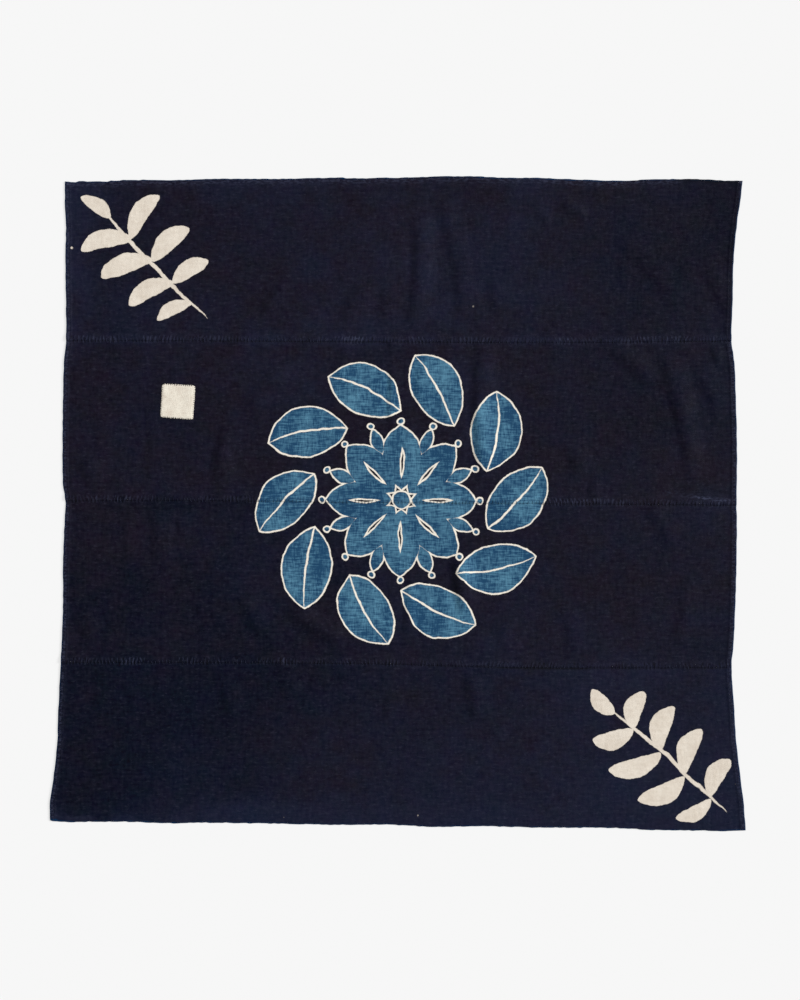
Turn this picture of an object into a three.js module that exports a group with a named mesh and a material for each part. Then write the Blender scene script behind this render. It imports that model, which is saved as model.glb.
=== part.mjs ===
// A furoshiki, the Japanese wrapping cloth, lying open and face up on a flat surface.
// Four hand-loomed cotton widths are sewn edge to edge, their ends are turned in a hem, and a
// small blank patch is sewn to the second width.
// Millimetres. +X runs along the widths, +Y runs from the fourth width to the first, and +Z is up.
// The cloth rests on Z = 0, with the middle of its outline on the Z axis.

import * as THREE from "three";

// Cloth, hems and seams
const CLOTH = 1; // thickness of one layer
const GAP = 0.3; // air between two pieces that touch
const HEM = 10; // width of the hem turned at both ends of a width
const HEM_FOLD = 0.8; // what the turned hem adds to the thickness
const HEM_STEP = 4; // slope from the hem down to the single layer
const HEM_FADE = 8; // stretch before a seam in which the hem thins to one layer
const ALLOWANCE = 10; // strip of a width that lies under the width above it
const LAP = 11; // strip of a width that lies over that allowance
const LAP_STEP = 6; // slope from the raised strip down to the surface

// Divisions of a width between its hems and between its seams
const CELLS_ALONG = 60;
const CELLS_ACROSS = 12;

// The left and right ends of the cloth, from the bottom corner up to the top corner
const ENDS = [
  { y: -667, left: -707, right: 709 },
  { y: -612, left: -709, right: 705 },
  { y: -571, left: -703, right: 700 },
  { y: -489, left: -694, right: 690 },
  { y: -408, left: -691, right: 685 },
  { y: -328, left: -687, right: 680 },
  { y: -286, left: -685, right: 684 },
  { y: -204, left: -682, right: 688 },
  { y: -123, left: -682, right: 690 },
  { y: -41, left: -679, right: 691 },
  { y: 3, left: -677, right: 690 },
  { y: 40, left: -682, right: 691 },
  { y: 122, left: -683, right: 691 },
  { y: 203, left: -682, right: 689 },
  { y: 285, left: -680, right: 686 },
  { y: 333, left: -676, right: 680 },
  { y: 407, left: -676, right: 682 },
  { y: 488, left: -677, right: 684 },
  { y: 570, left: -676, right: 691 },
  { y: 611, left: -678, right: 697 },
  { y: 667, left: -678, right: 704 },
];

// The top and bottom edges of the cloth, from the left corner to the right corner
const EDGES = [
  { x: -709, top: 656, bottom: -643 },
  { x: -670, top: 656, bottom: -648 },
  { x: -602, top: 657, bottom: -648 },
  { x: -537, top: 660, bottom: -648 },
  { x: -472, top: 659, bottom: -651 },
  { x: -374, top: 662, bottom: -650 },
  { x: -244, top: 662, bottom: -652 },
  { x: -146, top: 664, bottom: -654 },
  { x: -16, top: 664, bottom: -654 },
  { x: 82, top: 667, bottom: -659 },
  { x: 147, top: 667, bottom: -657 },
  { x: 212, top: 664, bottom: -658 },
  { x: 277, top: 664, bottom: -660 },
  { x: 343, top: 661, bottom: -660 },
  { x: 441, top: 658, bottom: -661 },
  { x: 506, top: 661, bottom: -665 },
  { x: 604, top: 661, bottom: -666 },
  { x: 660, top: 658, bottom: -667 },
  { x: 709, top: 659, bottom: -665 },
];

// The three seam lines, where the lower width comes out from under the upper one
const SEAMS = [
  { x: -690, first: 332, second: 6, third: -324 },
  { x: -370, first: 332, second: 6, third: -324 },
  { x: -80, first: 330, second: 2, third: -326 },
  { x: 100, first: 329, second: 1, third: -330 },
  { x: 320, first: 328, second: 0, third: -334 },
  { x: 690, first: 332, second: -3, third: -334 },
];

// The widths, with the seams that bound them
const WIDTHS = [
  { name: "panel_1", above: null, below: "first" },
  { name: "panel_2", above: "first", below: "second" },
  { name: "panel_3", above: "second", below: "third" },
  { name: "panel_4", above: "third", below: null },
];

// The main folds, each from its upper end to its lower end. A fold is a ridge that is steep on
// the right of that way and gentle on the left. Its line runs down the middle of the steep side,
// and bow is how far that line swings out to the left.
const FOLDS = [
  { fromX: 30, fromY: 610, toX: 20, toY: 345, bow: 8, height: 2.8 },
  { fromX: 62, fromY: 645, toX: 121, toY: 345, bow: 19, height: 1.8 },
  { fromX: 196, fromY: 480, toX: 209, toY: 372, bow: -14, height: 1.3 },
  { fromX: -74, fromY: 454, toX: -123, toY: 367, bow: 0, height: 2.6 },
  { fromX: -24, fromY: 460, toX: -28, toY: 366, bow: -8, height: 1.5 },
  { fromX: 418, fromY: 555, toX: 569, toY: 373, bow: 16, height: 1.6 },
  { fromX: 612, fromY: 490, toX: 671, toY: 366, bow: 4, height: 2.6 },
  { fromX: 166, fromY: 344, toX: 169, toY: 24, bow: -12, height: 4.2 },
  { fromX: 107, fromY: -96, toX: 126, toY: -236, bow: 3, height: 5.2 },
  { fromX: -226, fromY: 292, toX: -324, toY: 186, bow: -8, height: 2.8 },
  { fromX: -355, fromY: 168, toX: -378, toY: 26, bow: -4, height: 4.4 },
  { fromX: 402, fromY: 320, toX: 521, toY: 228, bow: 8, height: 2.1 },
  { fromX: 529, fromY: 312, toX: 594, toY: 18, bow: 8, height: 3.6 },
  { fromX: 598, fromY: 282, toX: 648, toY: 165, bow: 6, height: 1.5 },
  { fromX: 332, fromY: 137, toX: 358, toY: 47, bow: 7, height: 2.2 },
  { fromX: -652, fromY: 90, toX: -624, toY: 24, bow: 0, height: 3.6 },
  { fromX: -499, fromY: -5, toX: -499, toY: -135, bow: 0, height: 2.5 },
  { fromX: -334, fromY: -176, toX: -236, toY: -304, bow: -12, height: 2.4 },
  { fromX: -236, fromY: -217, toX: -102, toY: -297, bow: -5, height: 4.6 },
  { fromX: 188, fromY: -234, toX: 234, toY: -314, bow: -3, height: 2.1 },
  { fromX: 318, fromY: -204, toX: 342, toY: -322, bow: 17, height: 1.4 },
  { fromX: 498, fromY: 4, toX: 562, toY: -92, bow: -4, height: 1.8 },
  { fromX: 580, fromY: -140, toX: 556, toY: -306, bow: 6, height: 1.3 },
  { fromX: -667, fromY: -218, toX: -613, toY: -288, bow: -4, height: 2 },
  { fromX: -382, fromY: -336, toX: -344, toY: -446, bow: 6, height: 2.2 },
  { fromX: -250, fromY: -330, toX: -224, toY: -410, bow: 0, height: 2.1 },
  { fromX: 132, fromY: -342, toX: 157, toY: -452, bow: 0, height: 2.7 },
];
const FOLD_STEEP = 22; // how far the steep side of a fold reaches from its crest
const FOLD_GENTLE = 42; // how far the gentle side reaches
const FOLD_TAPER = 0.2; // share of a fold's length in which it rises from nothing at each end

// The patch on the second width, from its top left corner clockwise
const PATCH_CORNERS = [
  { x: -480, y: 245 },
  { x: -412, y: 241 },
  { x: -417, y: 171 },
  { x: -484, y: 176 },
];
const PATCH_ROUND = 6; // how far from a corner its rounding starts
const PATCH_STEPS = 5; // facets of each rounded corner

const INDIGO = new THREE.MeshStandardMaterial({ color: 0x1b1b2c, roughness: 0.95, metalness: 0 });
const COTTON = new THREE.MeshStandardMaterial({ color: 0xe6dfcf, roughness: 0.95, metalness: 0 });

// A column of a table at a place between its rows, on one smooth curve through them.
function along(rows, by, column, at) {
  const last = rows.length - 1;
  const place = THREE.MathUtils.clamp(at, rows[0][by], rows[last][by]);
  let row = 0;
  while (row < last - 1 && place > rows[row + 1][by]) {
    row += 1;
  }
  const slope = (i) => {
    const before = rows[Math.max(i - 1, 0)];
    const after = rows[Math.min(i + 1, last)];
    return (after[column] - before[column]) / (after[by] - before[by]);
  };
  const span = rows[row + 1][by] - rows[row][by];
  const t = (place - rows[row][by]) / span;
  const rest = 1 - t;
  return (
    rows[row][column] * (1 + 2 * t) * rest * rest +
    slope(row) * span * t * rest * rest +
    rows[row + 1][column] * (1 + 2 * rest) * t * t -
    slope(row + 1) * span * rest * t * t
  );
}

// How high the folds lift the cloth off the surface at a point.
function lift(x, y) {
  let height = 0;
  for (const fold of FOLDS) {
    const alongX = fold.toX - fold.fromX;
    const alongY = fold.toY - fold.fromY;
    const length = Math.hypot(alongX, alongY);
    const share = ((x - fold.fromX) * alongX + (y - fold.fromY) * alongY) / length ** 2;
    const aside = ((y - fold.fromY) * alongX - (x - fold.fromX) * alongY) / length;
    const fromCrest = aside - 4 * fold.bow * share * (1 - share) - FOLD_STEEP / 2;
    const off = fromCrest > 0 ? fromCrest / FOLD_GENTLE : -fromCrest / FOLD_STEEP;
    if (share <= 0 || share >= 1 || off >= 1) {
      continue;
    }
    const ends = THREE.MathUtils.smoothstep(Math.min(share, 1 - share), 0, FOLD_TAPER);
    height += fold.height * ends * (0.5 + 0.5 * Math.cos(Math.PI * off));
  }
  return height;
}

// Distances from the start of a stretch: set ones at both ends, and even cells between them.
function stations(length, start, cells, end) {
  const first = start[start.length - 1];
  const last = length - end[0];
  const middle = [];
  for (let cell = 1; cell < cells; cell += 1) {
    middle.push(THREE.MathUtils.lerp(first, last, cell / cells));
  }
  return [...start, ...middle, ...end.map((distance) => length - distance)];
}

// 1 up to a start, then an even slope down to 0.
function slopeDown(distance, start, length) {
  return 1 - THREE.MathUtils.clamp((distance - start) / length, 0, 1);
}

// One width of cloth: a closed sheet whose underside and face follow the same folds.
function widthGeometry({ above, below }) {
  const bottomAt = (x) => (below ? along(SEAMS, "x", below, x) : along(EDGES, "x", "bottom", x));
  const topAt = (x) => (above ? along(SEAMS, "x", above, x) + ALLOWANCE : along(EDGES, "x", "top", x));
  const hemStations = [0, HEM, HEM + HEM_STEP];
  const lapStations = below ? [0, LAP, LAP + LAP_STEP] : [0];
  const allowanceStations = above ? [ALLOWANCE + HEM_FADE, ALLOWANCE, 0] : [0];

  const pointAt = (column, row) => {
    const middleY = (bottomAt(0) + topAt(0)) / 2;
    const columnX = (y) => {
      const left = along(ENDS, "y", "left", y);
      const length = along(ENDS, "y", "right", y) - left;
      return left + stations(length, hemStations, CELLS_ALONG, [...hemStations].reverse())[column];
    };
    const nearX = columnX(middleY);
    const bottom = bottomAt(nearX);
    const rows = stations(topAt(nearX) - bottom, lapStations, CELLS_ACROSS, allowanceStations);
    const y = bottom + rows[row];
    const x = columnX(y);
    const toEnd = Math.min(x - along(ENDS, "y", "left", y), along(ENDS, "y", "right", y) - x);
    const belowSeam = above ? topAt(nearX) - ALLOWANCE - y : Infinity;
    const fade = THREE.MathUtils.clamp(belowSeam / HEM_FADE, 0, 1);
    const hem = HEM_FOLD * slopeDown(toEnd, HEM, HEM_STEP) * fade;
    const lap = below ? (CLOTH + GAP) * slopeDown(y - bottom, LAP, LAP_STEP) : 0;
    const underside = lift(x, y) + lap;
    return { x, y, underside, face: underside + CLOTH + hem };
  };

  const columns = 2 * hemStations.length + CELLS_ALONG - 1;
  const rows = lapStations.length + allowanceStations.length + CELLS_ACROSS - 1;
  return closedSheet(columns, rows, pointAt);
}

// A closed body from a grid of points, each with the heights of its underside and its face.
function closedSheet(columns, rows, pointAt) {
  const positions = [];
  const indices = [];
  for (let row = 0; row < rows; row += 1) {
    for (let column = 0; column < columns; column += 1) {
      const { x, y, underside, face } = pointAt(column, row);
      positions.push(x, y, underside, x, y, face);
    }
  }
  const under = (column, row) => 2 * (row * columns + column);
  const over = (column, row) => under(column, row) + 1;
  const quad = (a, b, c, d) => indices.push(a, b, c, a, c, d);
  for (let row = 0; row < rows - 1; row += 1) {
    for (let column = 0; column < columns - 1; column += 1) {
      const right = column + 1;
      const back = row + 1;
      quad(over(column, row), over(right, row), over(right, back), over(column, back));
      quad(under(column, row), under(column, back), under(right, back), under(right, row));
    }
  }
  const lastColumn = columns - 1;
  const lastRow = rows - 1;
  for (let column = 0; column < lastColumn; column += 1) {
    const right = column + 1;
    quad(under(column, 0), under(right, 0), over(right, 0), over(column, 0));
    quad(under(right, lastRow), under(column, lastRow), over(column, lastRow), over(right, lastRow));
  }
  for (let row = 0; row < lastRow; row += 1) {
    const back = row + 1;
    quad(under(0, back), under(0, row), over(0, row), over(0, back));
    quad(under(lastColumn, row), under(lastColumn, back), over(lastColumn, back), over(lastColumn, row));
  }
  const geometry = new THREE.BufferGeometry();
  geometry.setAttribute("position", new THREE.Float32BufferAttribute(positions, 3));
  geometry.setIndex(indices);
  geometry.computeVertexNormals();
  return geometry;
}

// The patch: one layer with rounded corners.
function patchGeometry() {
  const outline = new THREE.Shape();
  const corners = PATCH_CORNERS.map(({ x, y }) => new THREE.Vector2(x, y));
  corners.forEach((corner, i) => {
    const before = corners[(i + corners.length - 1) % corners.length];
    const after = corners[(i + 1) % corners.length];
    const start = corner.clone().lerp(before, PATCH_ROUND / corner.distanceTo(before));
    const end = corner.clone().lerp(after, PATCH_ROUND / corner.distanceTo(after));
    if (i === 0) {
      outline.moveTo(start.x, start.y);
    } else {
      outline.lineTo(start.x, start.y);
    }
    outline.quadraticCurveTo(corner.x, corner.y, end.x, end.y);
  });
  outline.closePath();
  return new THREE.ExtrudeGeometry(outline, {
    depth: CLOTH,
    bevelEnabled: false,
    curveSegments: PATCH_STEPS,
  });
}

const furoshiki = new THREE.Group();
for (const width of WIDTHS) {
  const panel = new THREE.Mesh(widthGeometry(width), INDIGO);
  panel.name = width.name;
  furoshiki.add(panel);
}

const patch = new THREE.Mesh(patchGeometry(), COTTON);
patch.name = "patch";
patch.position.z = CLOTH + GAP;
furoshiki.add(patch);

export default furoshiki;
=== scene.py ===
"""A furoshiki lying open: four widths of indigo cotton sewn edge to edge, seen from above.

Each width is a thin closed sheet on the folds of its CAD solid, with a lapped and puckered seam,
hemmed ends and worn dye. Tables and lengths are in millimetres, in the CAD's frame; meshes are
in metres.
"""

import math
from collections import namedtuple

import bpy
import numpy as np
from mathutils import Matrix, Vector


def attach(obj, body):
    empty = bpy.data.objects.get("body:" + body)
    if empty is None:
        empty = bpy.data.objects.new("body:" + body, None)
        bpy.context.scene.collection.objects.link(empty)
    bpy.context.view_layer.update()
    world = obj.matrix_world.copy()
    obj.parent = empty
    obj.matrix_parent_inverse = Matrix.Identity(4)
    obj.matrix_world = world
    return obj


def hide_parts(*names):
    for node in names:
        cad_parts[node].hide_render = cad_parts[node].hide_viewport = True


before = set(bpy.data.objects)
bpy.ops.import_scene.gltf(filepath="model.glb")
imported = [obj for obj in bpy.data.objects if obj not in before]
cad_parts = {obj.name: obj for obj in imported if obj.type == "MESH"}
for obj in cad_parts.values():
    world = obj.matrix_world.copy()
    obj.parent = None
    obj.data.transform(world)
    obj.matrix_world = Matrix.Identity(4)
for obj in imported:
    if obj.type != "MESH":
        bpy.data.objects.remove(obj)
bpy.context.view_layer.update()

MM = 0.001

# Cloth, hems and seams, as in the CAD
CLOTH = 1.0
GAP = 0.3  # air where one layer lies over another
HEM = 10.0
HEM_FOLD = 0.8  # what the turning adds to the hem's height
HEM_STEP = 4.0  # from the turning down to a single layer
HEM_FADE = 8.0  # from a seam down to where the hem below it has its full height
ALLOWANCE = 10.0  # what a width has under the width above it
LAP = 11.0
LAP_EASE = 3.0  # how soon before a lap's end its step starts
LAP_STEP = 6.0  # how far past the lap's end the step goes

# How far in from a rim or a lapped edge it is rounded
EDGE_ROUND = 1.2
LAP_ROUND = 4.0

END_WAVER = 0.5  # how far the hemmed ends stray from the CAD's outline

# Left and right ends of the cloth: y, left, right
ENDS = (
    (-667, -707, 709),
    (-612, -709, 705),
    (-571, -703, 700),
    (-489, -694, 690),
    (-408, -691, 685),
    (-328, -687, 680),
    (-286, -685, 684),
    (-204, -682, 688),
    (-123, -682, 690),
    (-41, -679, 691),
    (3, -677, 690),
    (40, -682, 691),
    (122, -683, 691),
    (203, -682, 689),
    (285, -680, 686),
    (333, -676, 680),
    (407, -676, 682),
    (488, -677, 684),
    (570, -676, 691),
    (611, -678, 697),
    (667, -678, 704),
)

# Top and bottom edges of the cloth: x, top, bottom
EDGES = (
    (-709, 656, -643),
    (-670, 656, -648),
    (-602, 657, -648),
    (-537, 660, -648),
    (-472, 659, -651),
    (-374, 662, -650),
    (-244, 662, -652),
    (-146, 664, -654),
    (-16, 664, -654),
    (82, 667, -659),
    (147, 667, -657),
    (212, 664, -658),
    (277, 664, -660),
    (343, 661, -660),
    (441, 658, -661),
    (506, 661, -665),
    (604, 661, -666),
    (660, 658, -667),
    (709, 659, -665),
)

# Seam lines, where a width comes out from under the one above: x, first, second, third
SEAMS = (
    (-690, 332, 6, -324),
    (-370, 332, 6, -324),
    (-80, 330, 2, -326),
    (100, 329, 1, -330),
    (320, 328, 0, -334),
    (690, 332, -3, -334),
)

# Folds, steep on the right of their way down and gentle on the left, each by the line down the
# middle of its steep side: from x, from y, to x, to y, swing to the left, height
FOLDS = (
    (30, 610, 20, 345, 8, 2.8),
    (62, 645, 121, 345, 19, 1.8),
    (196, 480, 209, 372, -14, 1.3),
    (-74, 454, -123, 367, 0, 2.6),
    (-24, 460, -28, 366, -8, 1.5),
    (418, 555, 569, 373, 16, 1.6),
    (612, 490, 671, 366, 4, 2.6),
    (166, 344, 169, 24, -12, 4.2),
    (107, -96, 126, -236, 3, 5.2),
    (-226, 292, -324, 186, -8, 2.8),
    (-355, 168, -378, 26, -4, 4.4),
    (402, 320, 521, 228, 8, 2.1),
    (529, 312, 594, 18, 8, 3.6),
    (598, 282, 648, 165, 6, 1.5),
    (332, 137, 358, 47, 7, 2.2),
    (-652, 90, -624, 24, 0, 3.6),
    (-499, -5, -499, -135, 0, 2.5),
    (-334, -176, -236, -304, -12, 2.4),
    (-236, -217, -102, -297, -5, 4.6),
    (188, -234, 234, -314, -3, 2.1),
    (318, -204, 342, -322, 17, 1.4),
    (498, 4, 562, -92, -4, 1.8),
    (580, -140, 556, -306, 6, 1.3),
    (-667, -218, -613, -288, -4, 2),
    (-382, -336, -344, -446, 6, 2.2),
    (-250, -330, -224, -410, 0, 2.1),
    (132, -342, 157, -452, 0, 2.7),
)

# Smaller creases, with the same columns
CREASES = (
    (323, 602, 385, 576, 5, 3),
    (275, 591, 307, 564, 0, 1.6),
    (-226, 462, -288, 400, 4, 2.2),
    (-510, 211, -503, 79, 0, 1.2),
    (-449, -23, -446, -74, 0, 1.1),
    (-561, -23, -558, -115, 0, 0.8),
    (395, 52, 386, 8, 0, 1.3),
    (634, 311, 654, 281, 0, 2.4),
    (-566, -359, -537, -415, 0, 0.8),
    (-160, -330, -182, -384, -6, 1),
    (-24, -379, -28, -441, 0, 1.5),
    (-494, -344, -490, -390, 0, 0.9),
    (-109, 300, -137, 272, 0, 1.2),
    (-19, 331, -12, 311, 0, 1.5),
    (-14, 300, -20, 140, 0, 1.8),
    (40, 290, 36, 190, 0, 1.2),
    (20, -120, 8, -290, 3, 1.4),
)
FOLD_STEEP = 22.0  # how wide a fold's steep side is
FOLD_GENTLE = 42.0  # and its gentle side
FOLD_TAPER = 0.3  # share of its length over which each end goes down
FOLD_WAVER = 2.0  # how far its line strays
FOLD_UNEVEN = 0.35  # share by which its height varies
FOOT_REACH = 14.0
FLAT_AT_FOOT = 0.8  # share of the cloth's unevenness that is gone at a fold's foot
CREASE_SIZE = 0.6  # how wide a crease is next to a fold

# Stretches where a seam is rubbed paler: seam, from x, to x, strength
RUBBED = (
    ("first", -676, -560, 0.5),
    ("first", -540, -440, 0.45),
    ("first", -400, -340, 0.4),
    ("first", -130, -58, 1.3),
    ("first", 0, 60, 0.7),
    ("first", 90, 200, 0.3),
    ("first", 310, 372, 0.6),
    ("first", 455, 600, 0.6),
    ("first", 620, 690, 0.3),
    ("second", -640, -480, 0.3),
    ("second", 300, 480, 0.6),
    ("second", 630, 690, 0.8),
    ("third", -676, -590, 0.3),
    ("third", -580, -505, 0.7),
    ("third", -460, -395, 0.3),
    ("third", -254, -205, 0.7),
    ("third", 90, 300, 0.2),
)

# Pale worn streaks: from x, from y, to x, to y, half width, strength
STREAKS = (
    (526, 26, 600, 14, 4, 0.5),
    (586, 15, 688, 5, 3, 1.8),
    (-116, 337, -66, 335, 2.5, 1.4),
)

# Stretches where the cloth below a seam is darkened by painted shade: seam, from x, to x, depth
SHADED = (
    ("first", -400, 120, 0.25),
    ("first", 560, 690, 0.2),
    ("second", 300, 690, 0.3),
    ("third", 40, 690, 0.35),
    ("third", 190, 402, 0.5),
)

# Places where the dye is paler or deeper, and warmer or cooler:
# x, y, reach along x, reach along y, fading, warmth
BLOTCHES = (
    (-680, 500, 60, 190, 0.9, -0.4),
    (-400, 560, 150, 60, -0.1, 0.2),
    (40, 430, 120, 90, 0.25, -0.1),
    (230, 560, 90, 90, 0.3, 0),
    (710, 590, 90, 150, -0.9, 0),
    (575, 510, 80, 80, -0.5, -0.1),
    (340, 430, 120, 60, 0.25, 0),
    (-300, 270, 120, 70, 0.35, 0.2),
    (690, 190, 100, 120, -0.5, 0),
    (550, 200, 60, 90, -0.4, 0),
    (-360, -190, 100, 110, -0.3, -0.2),
    (150, -260, 120, 60, 0.3, 0.1),
    (-610, -430, 120, 200, -0.2, 0),
    (-100, -560, 260, 90, 0.3, 0.1),
    (-312, -640, 80, 34, 1.0, -0.6),
    (190, -650, 420, 30, 0.4, 0.1),
    (620, -600, 140, 70, 0.5, -0.9),
    (-480, -490, 220, 160, -0.1, -0.4),
    (-660, 610, 80, 60, 0.5, -0.6),
    (-590, 390, 90, 60, 0.2, -0.4),
    (60, 580, 130, 90, 0.35, -0.1),
    (560, 450, 130, 120, -0.35, -0.1),
    (500, 170, 110, 110, -0.3, 0),
    (-480, 0, 90, 50, -0.4, 0),
    (-313, -250, 90, 60, -0.1, -0.5),
    (560, -60, 70, 110, -0.35, 0),
    (-421, -420, 60, 60, -0.4, 0),
    (-500, 5, 180, 12, -0.8, -0.2),
    (-480, -324, 220, 14, -0.9, -0.5),
    (0, 330, 700, 9, 0.3, -0.4),
    (680, 300, 60, 90, 0.1, -0.4),
    (20, 250, 400, 60, 0.15, -0.2),
    (660, -390, 60, 110, 0, -0.6),
    (230, 480, 70, 80, 0.1, -0.5),
    (-100, 360, 160, 40, 0.3, -0.4),
    (226, -290, 70, 40, 0.3, -0.4),
    (440, -590, 90, 90, 0.2, -0.5),
)

# Undyed specks: x, y, radius, strength
SPECKS = (
    (-664, 521, 2.6, 0.9),
    (-232, -639, 1, 0.12),
    (154, 402, 1.8, 0.28),
    (41, -635, 1.5, 0.35),
    (688, -571, 1, 0.1),
)

# The patch, from its top left corner clockwise
PATCH_CORNERS = ((-480, 245), (-412, 241), (-417, 171), (-484, 176))
PATCH_WIDTH = 68.0
PATCH_HEIGHT = 70.0
PATCH_ROUND = 6.0  # radius of its corners

# Distances from an edge at which a width has its closest rows and columns
NEAR_HEM = (0, 0.4, 1.2, 2.5, 4, 5.5, 6.7, 7.5, 8.3, 9.4, 10.4, 11.6, 13, 15)
NEAR_LAP = (0, 0.4, 1.2, 2.4, 3.8, 5.4, 7, 8.6, 10, 11.4, 13, 15, 17)
NEAR_ALLOWANCE = (0, 5, 9.3, 9.9, 10.5, 11.4, 12.8, 15, 18)
NEAR_SELVAGE = (0, 0.4, 1.2, 2.4, 4, 6)
CELLS_ALONG = 590
CELLS_ACROSS = 44

STITCH_PITCH = 7.4
HEM_STITCH_INSET = 7.5
SEAM_CLEAR = 4  # how far stitches stay from a seam that they meet, or from their own seam's ends
EDGE_CLEAR = 3  # how far a hem's stitches stay from the cloth's top and bottom
SEAM_SPAN = (-672, 678)  # where along x a seam's stitches are counted
THREAD_RADIUS = 0.34
WHIP_PITCH = 4.3
WHIP_OUT = 1.3  # how far outside the patch its stitches start
WHIP_RADIUS = 0.38

# How a stitch rises over its cloth: place along the stitch, height
HEM_STITCH = ((-1, -0.2), (-0.6, 0.28), (-0.2, 0.4), (0.2, 0.4), (0.6, 0.28), (1, -0.2))
SEAM_STITCH = ((0, -0.25), (0.2, 0.3), (0.4, 0.42), (0.6, 0.42), (0.8, 0.3), (1, -0.25))
WHIP_STITCH = ((0, -0.1), (0.3, 0.75), (0.5, 1.45), (0.8, 1.6), (1, 1.1))

# A loom width: its seams above and below, how faded its dye is at either end and how warm, its
# size when spread out, in metres, and a number that its random draws start from
Width = namedtuple("Width", "node above below fade_left fade_right warmth flat seed")
WIDTHS = (
    Width("panel_1", None, "first", 0.65, 0.6, 0.45, (0.345, 1.385), 1),
    Width("panel_2", "first", "second", 0.55, 0.55, 0.6, (0.345, 1.39), 2),
    Width("panel_3", "second", "third", 0.25, 0.6, 0.45, (0.345, 1.395), 3),
    Width("panel_4", "third", None, 0.1, 0.95, 0.1, (0.345, 1.415), 4),
)


# Curves, noise and steps on arrays


def columns(table):
    return np.array(table, float).T


def through(at, knots, values):
    """Values between knots, on the smooth curve that the CAD's outline follows."""
    last = len(knots) - 1
    at = np.clip(at, knots[0], knots[-1])
    row = np.clip(np.searchsorted(knots, at) - 1, 0, last - 1)
    before = np.maximum(np.arange(last + 1) - 1, 0)
    after = np.minimum(np.arange(last + 1) + 1, last)
    slope = (values[after] - values[before]) / (knots[after] - knots[before])
    span = knots[row + 1] - knots[row]
    t = (at - knots[row]) / span
    rest = 1 - t
    return (
        values[row] * (1 + 2 * t) * rest**2
        + slope[row] * span * t * rest**2
        + values[row + 1] * (1 + 2 * rest) * t**2
        - slope[row + 1] * span * rest * t**2
    )


def smoothstep(value, low, high):
    t = np.clip((value - low) / (high - low), 0, 1)
    return t * t * (3 - 2 * t)


LINE_KNOTS = 1024
PLANE_KNOTS = 512  # each way


def wander(at, size, seed):
    """Smooth noise from -1 to 1 along a line, with knots a size apart."""
    values = np.random.default_rng(seed).uniform(-1, 1, LINE_KNOTS)
    place = np.asarray(at, float) / size + LINE_KNOTS // 2
    cell = np.floor(place).astype(int)
    t = smoothstep(place - cell, 0, 1)
    return values[cell % LINE_KNOTS] * (1 - t) + values[(cell + 1) % LINE_KNOTS] * t


def rumple(x, y, size_x, size_y, seed):
    """Smooth noise from -1 to 1 over the plane, with knots a size apart."""
    values = np.random.default_rng(seed).uniform(-1, 1, (PLANE_KNOTS, PLANE_KNOTS))
    place_x, place_y = x / size_x + PLANE_KNOTS // 2, y / size_y + PLANE_KNOTS // 2
    left, low = np.floor(place_x).astype(int), np.floor(place_y).astype(int)
    t, s = smoothstep(place_x - left, 0, 1), smoothstep(place_y - low, 0, 1)
    right, high = (left + 1) % PLANE_KNOTS, (low + 1) % PLANE_KNOTS
    left, low = left % PLANE_KNOTS, low % PLANE_KNOTS
    near = values[left, low] * (1 - t) + values[right, low] * t
    far = values[left, high] * (1 - t) + values[right, high] * t
    return near * (1 - s) + far * s


def bell(value, middle, spread):
    return np.exp(-(((value - middle) / spread) ** 2))


# The cloth's outline and relief

END_Y, END_LEFT, END_RIGHT = columns(ENDS)
EDGE_X, EDGE_TOP, EDGE_BOTTOM = columns(EDGES)
SEAM_X, *SEAM_LINES = columns(SEAMS)
SEAM_LINE = dict(zip(("first", "second", "third"), SEAM_LINES))


def left_at(y):
    return through(y, END_Y, END_LEFT) + END_WAVER * wander(y, 11, 71)


def right_at(y):
    return through(y, END_Y, END_RIGHT) + END_WAVER * wander(y, 11, 72)


def seam_at(seam, x):
    return through(x, SEAM_X, SEAM_LINE[seam])


def top_at(width, x):
    """Where a width ends above: its allowance under the width above, or the cloth's edge."""
    if width.above:
        return seam_at(width.above, x) + ALLOWANCE
    frayed = 0.5 + 1.1 * np.clip(wander(x, 90, 76), 0, 1)
    return through(x, EDGE_X, EDGE_TOP) + frayed * wander(x, 8, 73)


def bottom_at(width, x):
    if width.below:
        return seam_at(width.below, x) + 0.5 * wander(x, STITCH_PITCH, 74)
    return through(x, EDGE_X, EDGE_BOTTOM) + 0.8 * wander(x, 8, 75)


def middle_of(width):
    """Where a width's middle is, halfway along it, as the y of one point."""
    return np.array([(bottom_at(width, 0.0) + top_at(width, 0.0)) / 2])


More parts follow.
